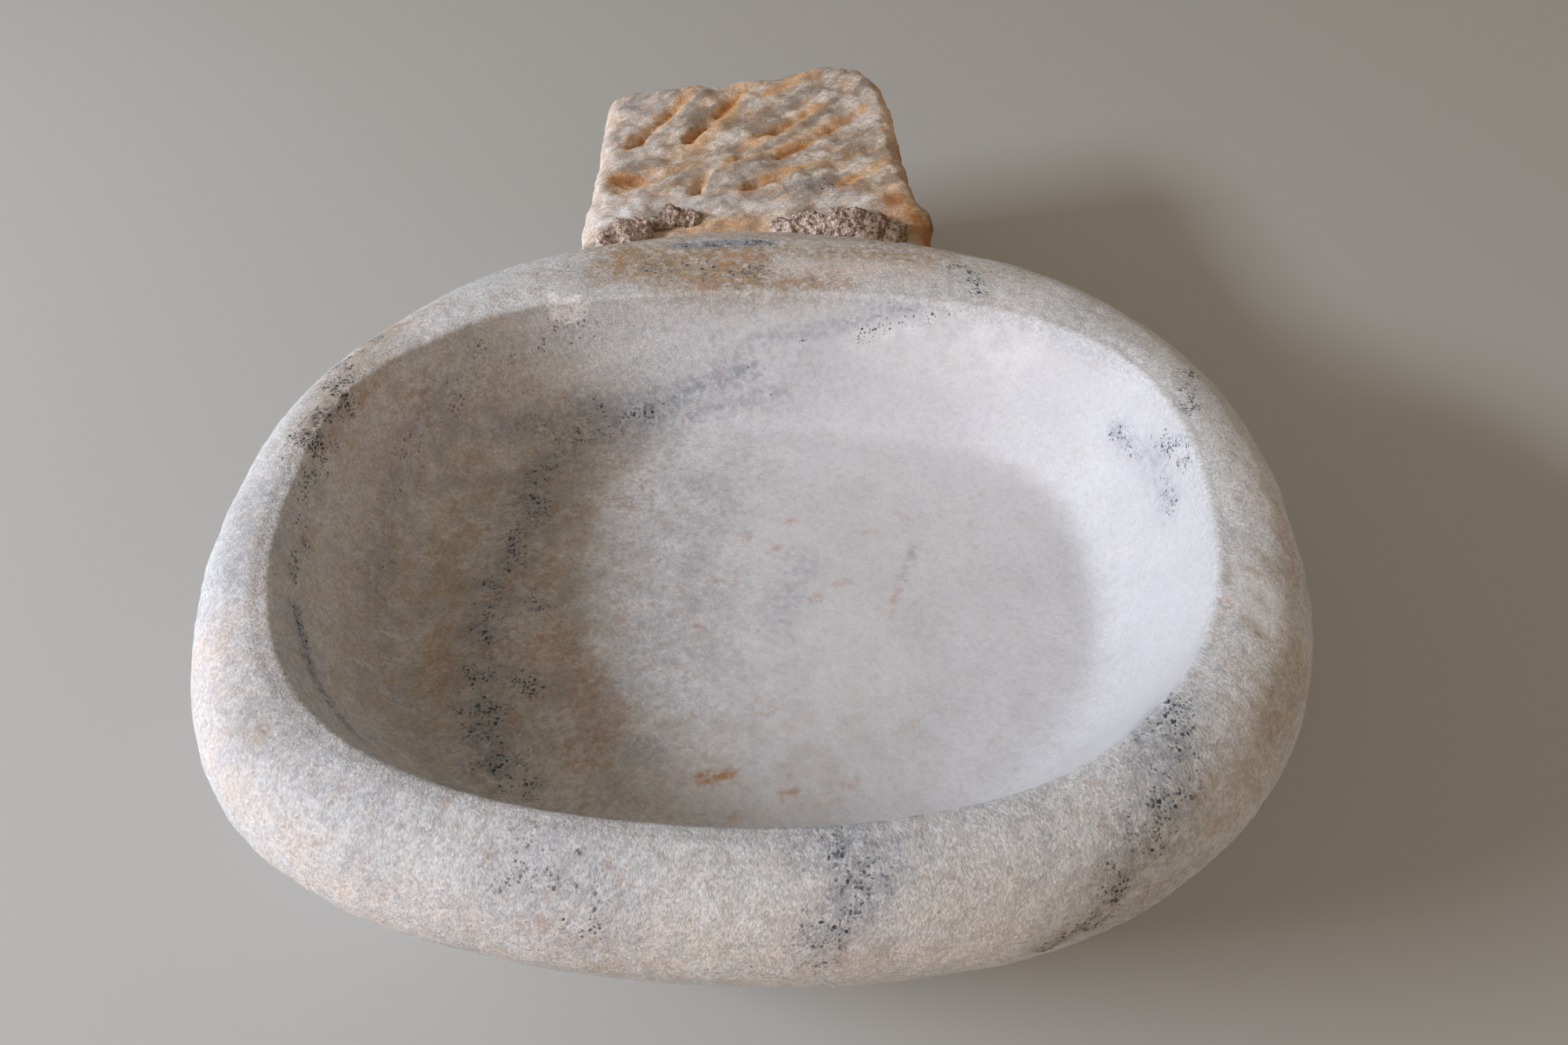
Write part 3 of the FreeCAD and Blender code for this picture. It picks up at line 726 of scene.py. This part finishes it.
def makeMarble():
    look = marbleLook
    material, shader = newMaterial("weatheredMarble", look["roughness"])
    tree = material.node_tree
    place = placeOnPiece(tree)
    mask = {name: addNode(tree, "Attribute", attribute_name=name).outputs["Fac"]
            for name in stains + ("tail", "cloudy", "blotchy", "coarse")}
    cloud, blotch, wisp, clod, patch, fine = (
        addNode(tree, "TexNoise", {"Vector": place, "Scale": 1 / look[name], "Detail": detail,
                                   "Roughness": 0.65}).outputs["Fac"]
        for name, detail in (("cloud", 6.0), ("blotch", 5.0), ("wisp", 4.0), ("clod", 3.0),
                             ("patch", 3.0), ("crystal", 3.0)))
    crystals = addNode(tree, "TexVoronoi", {"Vector": place, "Scale": 1 / look["crystal"]})
    random = addNode(tree, "SeparateColor", {"Color": crystals.outputs["Color"]}).outputs

    # plain stone: white, with grey clouds, warm wisps and small patches of either; each layer
    # is a noise, where it begins and is full, how much of it shows at most, and its colour
    cloudiness, mottling = (
        addNode(tree, "Math", {0: mask["cloudy"], 1: look[name]}, operation="MULTIPLY").outputs[0]
        for name in ("cloudShare", "mottleShare"))
    grey = toLinear(look["grey"])
    worn = addNode(tree, "MapRange", {0: mask["coarse"], 1: 1.0, 2: 0.3}).outputs[0]
    white = addNode(tree, "Mix", {0: worn, 6: toLinear(look["white"]),
                                  7: toLinear(look["wornWhite"])}, data_type="RGBA").outputs[2]
    colour = white
    for source, low, high, most, other in (
            (cloud, 0.42, 0.64, cloudiness, grey),
            (wisp, 0.50, 0.66, mottling, toLinear(look["warm"])),
            (patch, 0.50, 0.62, mottling, grey), (patch, 0.46, 0.34, 0.5, white),
            (fine, 0.62, 0.74, mottling, toLinear(look["pit"]))):
        amount = addNode(tree, "MapRange", {0: source, 1: low, 2: high, 4: most}).outputs[0]
        colour = addNode(tree, "Mix", {0: amount, 6: colour, 7: other},
                         data_type="RGBA").outputs[2]

    # the tail: mottled in patches drawn out along the chisel's strokes, with ochre between
    turn = (0, 0, math.radians(look["strokeTurn"]))
    stretched = addNode(tree, "Mapping", {"Vector": place, "Rotation": turn,
                                          "Scale": (look["strokeStretch"], 1, 1)},
                        vector_type="TEXTURE").outputs[0]
    lump, streak = (
        addNode(tree, "TexNoise", {"Vector": stretched, "Scale": 1 / look[name], "Detail": 3.0,
                                   "Roughness": 0.6}).outputs["Fac"]
        for name in ("lump", "streak"))
    tailColour = toLinear(look["tailHigh"])
    for source, low, high, most, name in ((lump, 0.42, 0.58, 0.8, "tailGrey"),
                                          (patch, 0.50, 0.62, 0.4, "tailGrey"),
                                          (streak, 0.50, 0.66, 0.38, "tailHollow")):
        amount = addNode(tree, "MapRange", {0: source, 1: low, 2: high, 4: most}).outputs[0]
        tailColour = addNode(tree, "Mix", {0: amount, 6: tailColour, 7: toLinear(look[name])},
                             data_type="RGBA").outputs[2]
    colour = addNode(tree, "Mix", {0: mask["tail"], 6: colour, 7: tailColour},
                     data_type="RGBA").outputs[2]

    # brown and blue blotches, where the basin is dirty
    for low, high, share, name in ((0.50, 0.64, 0.5, "brown"), (0.49, 0.36, 0.6, "blue")):
        most = addNode(tree, "Math", {0: mask["blotchy"], 1: share},
                       operation="MULTIPLY").outputs[0]
        amount = addNode(tree, "MapRange", {0: blotch, 1: low, 2: high, 4: most}).outputs[0]
        colour = addNode(tree, "Mix", {0: amount, 6: colour, 7: toLinear(look[name])},
                         data_type="RGBA").outputs[2]

    # stains, each broken up by a noise; chalk has hard edges; the dirt layer also holds painted
    # shade, and the chalky and tan layers hold painted light
    for name, colourName, breakUp, low, high in (
            ("chalkyAndLit", "chalk", clod, 0.0, 1.0), ("peach", "peach", wisp, 0.0, 1.0),
            ("dirtAndShade", "dirtAndShade", wisp, 0.0, 1.0), ("ochre", "ochre", patch, 0.0, 0.9),
            ("rust", "rust", patch, 0.1, 0.9), ("grey", "vein", patch, 0.0, 1.0),
            ("tanAndLitFlank", "tanAndLitFlank", patch, 0.0, 1.0), ("hollow", "tailHollow", patch, 0.0, 1.0),
            ("soil", "soil", clod, 0.0, 1.0), ("chalk", "chalk", patch, 0.45, 0.6)):
        broken = addNode(tree, "MapRange", {0: breakUp, 1: 0.35, 2: 0.62,
                                            3: 0.3, 4: 1.3}).outputs[0]
        amount = addNode(tree, "Math", {0: mask[name], 1: broken}, operation="MULTIPLY").outputs[0]
        amount = addNode(tree, "MapRange", {0: amount, 1: low, 2: high}).outputs[0]
        colour = addNode(tree, "Mix", {0: amount, 6: colour, 7: toLinear(look[colourName])},
                         data_type="RGBA").outputs[2]
    amount = addNode(tree, "MapRange", {0: mask["hollow"], 1: 0.5, 2: 1.0, 4: 0.85}).outputs[0]
    colour = addNode(tree, "Mix", {0: amount, 6: colour, 7: toLinear(look["tailDeep"])},
                     data_type="RGBA").outputs[2]

    # single crystals, some brighter, some darker, and scattered rusty spots
    shade = addNode(tree, "MapRange", {0: random[0], 3: -0.2, 4: 0.14}).outputs[0]
    shade = addNode(tree, "Math", {0: shade, 1: mask["coarse"], 2: 1.0},
                    operation="MULTIPLY_ADD").outputs[0]
    colour = addNode(tree, "VectorMath", {0: colour, "Scale": shade}, operation="SCALE").outputs[0]
    spots = addNode(tree, "TexNoise", {"Vector": place, "W": 3.0, "Scale": 1 / look["spot"],
                                       "Detail": 3.0, "Roughness": 0.7},
                    noise_dimensions="4D").outputs["Fac"]
    amount = addNode(tree, "MapRange", {0: spots, 1: 0.60, 2: 0.68, 4: mottling}).outputs[0]
    colour = addNode(tree, "Mix", {0: amount, 6: colour, 7: toLinear(look["rust"])},
                     data_type="RGBA").outputs[2]

    # grey and black crystals, crowded along the veins and strewn thinly everywhere else
    clump = addNode(tree, "MapRange", {0: clod, 1: 0.42, 2: 0.60, 3: 0.1, 4: 1.2}).outputs[0]
    crowd = addNode(tree, "Math", {0: mask["speck"], 1: clump}, operation="MULTIPLY").outputs[0]
    for size, colourName, share, strewn in (("haze", "vein", 1.1, 0.02),
                                            ("smallFleck", "flint", 1.2, 0.01),
                                            ("fleck", "black", 0.65, 0.001)):
        flecks = addNode(tree, "TexVoronoi", {"Vector": place, "Scale": 1 / look[size]})
        chance = addNode(tree, "SeparateColor", {"Color": flecks.outputs["Color"]}).outputs
        crowded = addNode(tree, "Math", {0: crowd, 1: share, 2: strewn},
                          operation="MULTIPLY_ADD").outputs[0]
        dark = addNode(tree, "Math", {0: crowded, 1: chance[0]}, operation="SUBTRACT").outputs[0]
        dark = addNode(tree, "MapRange", {0: dark, 1: 0.0, 2: 0.25, 4: 0.95}).outputs[0]
        # ragged outlines, and sizes that differ
        reach = addNode(tree, "Math", {0: fine, 1: 1.3, 2: flecks.outputs["Distance"]},
                        operation="MULTIPLY_ADD").outputs[0]
        reach = addNode(tree, "Math", {0: chance[1], 1: 0.3, 2: reach},
                        operation="MULTIPLY_ADD").outputs[0]
        amount = addNode(tree, "MapRange", {0: reach, 1: 1.25, 2: 1.1, 4: dark}).outputs[0]
        colour = addNode(tree, "Mix", {0: amount, 6: colour, 7: toLinear(look[colourName])},
                         data_type="RGBA").outputs[2]
    tree.links.new(colour, shader.inputs["Base Color"])

    # crystals stand a little proud of each other; the basin is worn smoother
    grain = fine
    for source, share in ((patch, 0.15), (random[1], 0.14)):
        grain = addNode(tree, "Math", {0: source, 1: share, 2: grain},
                        operation="MULTIPLY_ADD").outputs[0]
    height = addNode(tree, "Math", {0: mask["coarse"], 1: mask["coarse"]},
                     operation="MULTIPLY").outputs[0]
    height = addNode(tree, "Math", {0: grain, 1: height}, operation="MULTIPLY").outputs[0]
    bump = addNode(tree, "Bump", {"Height": height, "Strength": look["bumpStrength"],
                                  "Distance": look["bumpHeight"] * mm})
    tree.links.new(bump.outputs["Normal"], shader.inputs["Normal"])
    return material


# Old lime mortar with coarse sand, broken off by hand: crumbly, pinkish and matt, dark in its pits
mortarLook = {
    "lime": "#dccdc4", "sand": "#a08778", "pit": "#5a4238", "stain": "#6d5438",
    "grain": 1.6, "clod": 5,      # mm
    "stainShare": 0.8,
    "roughness": 0.9, "bumpStrength": 0.8, "bumpHeight": 1.0,         # mm
}


def makeMortar():
    look = mortarLook
    material, shader = newMaterial("oldMortar", look["roughness"])
    tree = material.node_tree
    place = placeOnPiece(tree)
    grains = addNode(tree, "TexVoronoi", {"Vector": place, "Scale": 1 / look["grain"]})
    random = addNode(tree, "SeparateColor", {"Color": grains.outputs["Color"]}).outputs
    coarse = addNode(tree, "TexNoise", {"Vector": place, "Scale": 1 / look["clod"], "Detail": 5.0,
                                        "Roughness": 0.7}).outputs["Fac"]
    sandy = addNode(tree, "MapRange", {0: random[0], 1: 0.3, 2: 0.9}).outputs[0]
    pitted = addNode(tree, "MapRange", {0: coarse, 1: 0.48, 2: 0.64, 4: 0.9}).outputs[0]
    stained = addNode(tree, "Attribute", attribute_name="stained").outputs["Fac"]
    stained = addNode(tree, "Math", {0: stained, 1: look["stainShare"]},
                      operation="MULTIPLY").outputs[0]
    colour = toLinear(look["lime"])
    for amount, name in ((sandy, "sand"), (pitted, "pit"), (stained, "stain")):
        colour = addNode(tree, "Mix", {0: amount, 6: colour, 7: toLinear(look[name])},
                         data_type="RGBA").outputs[2]
    tree.links.new(colour, shader.inputs["Base Color"])
    bump = addNode(tree, "Bump", {"Height": grains.outputs["Distance"],
                                  "Strength": look["bumpStrength"],
                                  "Distance": look["bumpHeight"] * mm}, invert=True)
    tree.links.new(bump.outputs["Normal"], shader.inputs["Normal"])
    return material


# metres and watts; the floor is a board with matt pale paint
stageLook = {
    "floor": "#b6b8b6", "floorSize": 8.0, "floorRoughness": 0.7,
    "lampPlace": (-2.14, -0.61, 1.235), "lampAim": (0, 0, 0.1), "lampSize": (1.1, 0.32),
    "lampPower": 62.0, "lampColour": "#ecf1fd",
    "roomFront": "#ffdfc2", "roomBack": "#968f7f", "roomTurn": (-0.8, 0.8),
    "roomStrength": 0.53,
    "backdrop": "#dfe0df",
}


def makeFloor():
    look = stageLook
    bm = bmesh.new()
    bmesh.ops.create_grid(bm, x_segments=1, y_segments=1, size=look["floorSize"] / 2)
    floor = newPiece("floor", toMesh(bm, "floor"))
    material, shader = newMaterial("paleFloor", look["floorRoughness"])
    shader.inputs["Base Color"].default_value = toLinear(look["floor"])
    floor.data.materials.append(material)


def makeLight():
    look = stageLook
    lamp = bpy.data.lights.new("window", "AREA")
    lamp.shape = "RECTANGLE"
    lamp.size, lamp.size_y = look["lampSize"]
    lamp.energy = look["lampPower"]
    lamp.color = toLinear(look["lampColour"])[:3]
    window = bpy.data.objects.new("window", lamp)
    window.location = look["lampPlace"]
    aim = Vector(look["lampAim"]) - window.location
    window.rotation_euler = aim.to_track_quat("-Z", "Y").to_euler()
    bpy.context.scene.collection.objects.link(window)

    # the room's warm fill is brighter at the front, and shows as a plain backdrop
    world = bpy.data.worlds.new("room")
    world.use_nodes = True
    bpy.context.scene.world = world
    tree = world.node_tree
    room = tree.nodes["Background"]
    direction = addNode(tree, "TexCoord").outputs["Generated"]
    backwards = addNode(tree, "SeparateXYZ", {0: direction}).outputs["Y"]
    front, back = look["roomTurn"]
    share = addNode(tree, "MapRange", {0: backwards, 1: front, 2: back}).outputs[0]
    colour = addNode(tree, "Mix", {0: share, 6: toLinear(look["roomFront"]),
                                   7: toLinear(look["roomBack"])}, data_type="RGBA").outputs[2]
    tree.links.new(colour, room.inputs["Color"])
    room.inputs["Strength"].default_value = look["roomStrength"]
    backdrop = addNode(tree, "Background", {"Color": toLinear(look["backdrop"])}).outputs[0]
    rays = addNode(tree, "LightPath").outputs
    seen = rays["Is Camera Ray"]
    for ray in ("Is Glossy Ray", "Is Transmission Ray"):
        seen = addNode(tree, "Math", {0: seen, 1: rays[ray]}, operation="MAXIMUM").outputs[0]
    both = addNode(tree, "MixShader", {0: seen, 1: room.outputs[0], 2: backdrop}).outputs[0]
    tree.links.new(both, tree.nodes["World Output"].inputs["Surface"])


# above the bowl's front, looking down at the basin and the tail; metres, degrees, and
# millimetres for the lens
cameraLook = {
    "place": (0.0287, -0.3663, 0.4922), "down": 45.8, "left": 2.5, "roll": -0.89,
    "lens": 26.0, "sensor": 36.0,
}


def makeCamera():
    look = cameraLook
    data = bpy.data.cameras.new("camera")
    data.lens = look["lens"]
    data.sensor_width = look["sensor"]
    camera = bpy.data.objects.new("camera", data)
    bpy.context.scene.collection.objects.link(camera)
    turn = (Matrix.Rotation(math.radians(look["left"]), 4, "Z")
            @ Matrix.Rotation(math.radians(90 - look["down"]), 4, "X")
            @ Matrix.Rotation(math.radians(look["roll"]), 4, "Z"))
    camera.matrix_world = Matrix.Translation(look["place"]) @ turn
    bpy.context.scene.camera = camera


stone = makeStone()
writeStoneMasks(stone)
stone.data.materials.clear()
stone.data.materials.append(makeMarble())
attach(stone, "root")
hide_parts("stoup_stone")
print("stone done")

mortar = makeMortar()
for node in ("mortar_crust_left", "mortar_crust_middle", "mortar_crust_right"):
    crust = makeCrust(node)
    crust.data.materials.append(mortar)
    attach(crust, "root")
    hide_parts(node)
print("mortar done")

makeFloor()
makeLight()
makeCamera()
bpy.context.scene.view_settings.view_transform = "Standard"
print("stage done")
